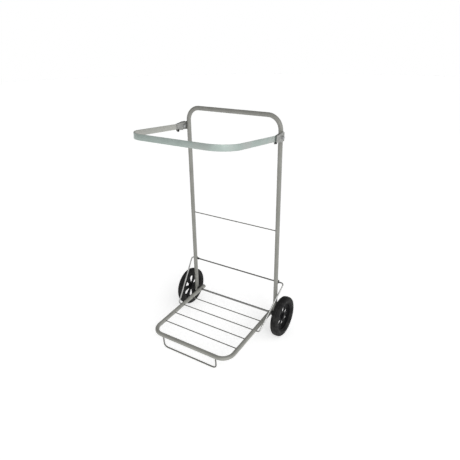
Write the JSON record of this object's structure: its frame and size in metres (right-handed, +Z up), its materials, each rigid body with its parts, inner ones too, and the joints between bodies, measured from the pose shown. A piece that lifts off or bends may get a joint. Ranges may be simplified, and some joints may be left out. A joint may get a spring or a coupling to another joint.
{
  "type": "folding bag-hoop trolley",
  "caption": "Folding upright trolley with a bent-tube frame, wire tray and foot, swinging stay, flat bag hoop on clip brackets and rubber-tyred wheels.",
  "frame": {"origin": "on the floor, in the middle of the trolley's footprint; the axle is 160 mm behind it and 100 mm above the floor", "axes": "+Z up along the legs, +Y towards the back of the trolley, -Y towards the tray's front, +X to the right seen from the front"},
  "size_m": [0.599, 0.5215, 1.081],
  "materials": {
    "frame_paint": "smooth warm grey enamel on steel tube, semi-gloss",
    "zinc": "bright zinc plating",
    "stay_steel": "bright drawn wire",
    "hoop_strip": "rolled flat strip with a pale greenish zinc finish",
    "tyre_rubber": "dark grey solid rubber, dull",
    "hub_plastic": "black moulded plastic, fine texture",
    "nylon": "black moulded nylon",
    "tube_cap": "pale grey moulded plastic",
    "peg_rubber": "black rubber"
  },
  "bodies": {
    "frame": {"back_frame": "frame_paint", "mid_rung": "frame_paint", "leg_plug_left": "nylon", "leg_plug_right": "nylon", "hook_left": "frame_paint", "hook_right": "frame_paint", "axle": "zinc", "push_washer_left": "nylon", "push_washer_right": "nylon", "wheel_spacer_left": "nylon", "wheel_spacer_right": "nylon", "bracket_left": "zinc", "bracket_right": "zinc", "pivot_bolt_left": "zinc", "pivot_bolt_right": "zinc", "pivot_nut_left": "zinc", "pivot_nut_right": "zinc", "pivot_washers_left": "nylon", "pivot_washers_right": "nylon", "stop_peg_left": "peg_rubber", "stop_peg_right": "peg_rubber"},
    "tray": {"tray_tube": "frame_paint", "tray_rung_1": "frame_paint", "tray_rung_2": "frame_paint", "tray_rung_3": "frame_paint", "tray_rung_4": "frame_paint", "foot_wire": "frame_paint", "tray_bush_left": "nylon", "tray_bush_right": "nylon", "tray_cap_left": "tube_cap", "tray_cap_right": "tube_cap"},
    "stay_sleeves": {"stay_sleeve_left": "nylon", "stay_sleeve_right": "nylon"},
    "stay": {"stay_wire": "stay_steel"},
    "hoop": {"hoop_band": "hoop_strip"},
    "wheel_left": {"tyre_left": "tyre_rubber", "wheel_hub_left": "hub_plastic", "hub_bush_left": "nylon"},
    "wheel_right": {"tyre_right": "tyre_rubber", "wheel_hub_right": "hub_plastic", "hub_bush_right": "nylon"}
  },
  "joints": [
    {"name": "tray_fold", "type": "hinge", "parent": "frame", "child": "tray", "pos_m": [0, 0.16, 0.1], "axis": [-1, 0, 0], "range_deg": [0, 85]},
    {"name": "stay_slide", "type": "slide", "parent": "frame", "child": "stay_sleeves", "axis": [0, 0, 1], "range_m": [0, 0.2363]},
    {"name": "stay_swing", "type": "hinge", "parent": "stay_sleeves", "child": "stay", "pos_m": [0, 0.176, 0.275], "axis": [1, 0, 0], "range_deg": [0, 34.4]},
    {"name": "hoop_fold", "type": "hinge", "parent": "frame", "child": "hoop", "pos_m": [0, 0.136, 0.988], "axis": [-1, 0, 0], "range_deg": [0, 245]},
    {"name": "wheel_left_spin", "type": "hinge", "parent": "frame", "child": "wheel_left", "pos_m": [-0.281, 0.16, 0.1], "axis": [1, 0, 0], "continuous": true},
    {"name": "wheel_right_spin", "type": "hinge", "parent": "frame", "child": "wheel_right", "pos_m": [0.281, 0.16, 0.1], "axis": [1, 0, 0], "continuous": true}
  ],
  "couplings": [
    {"joint": "stay_slide", "follows": "tray_fold", "m_per_rad": 0.15927},
    {"joint": "stay_swing", "follows": "tray_fold", "ratio": 0.40447}
  ]
}
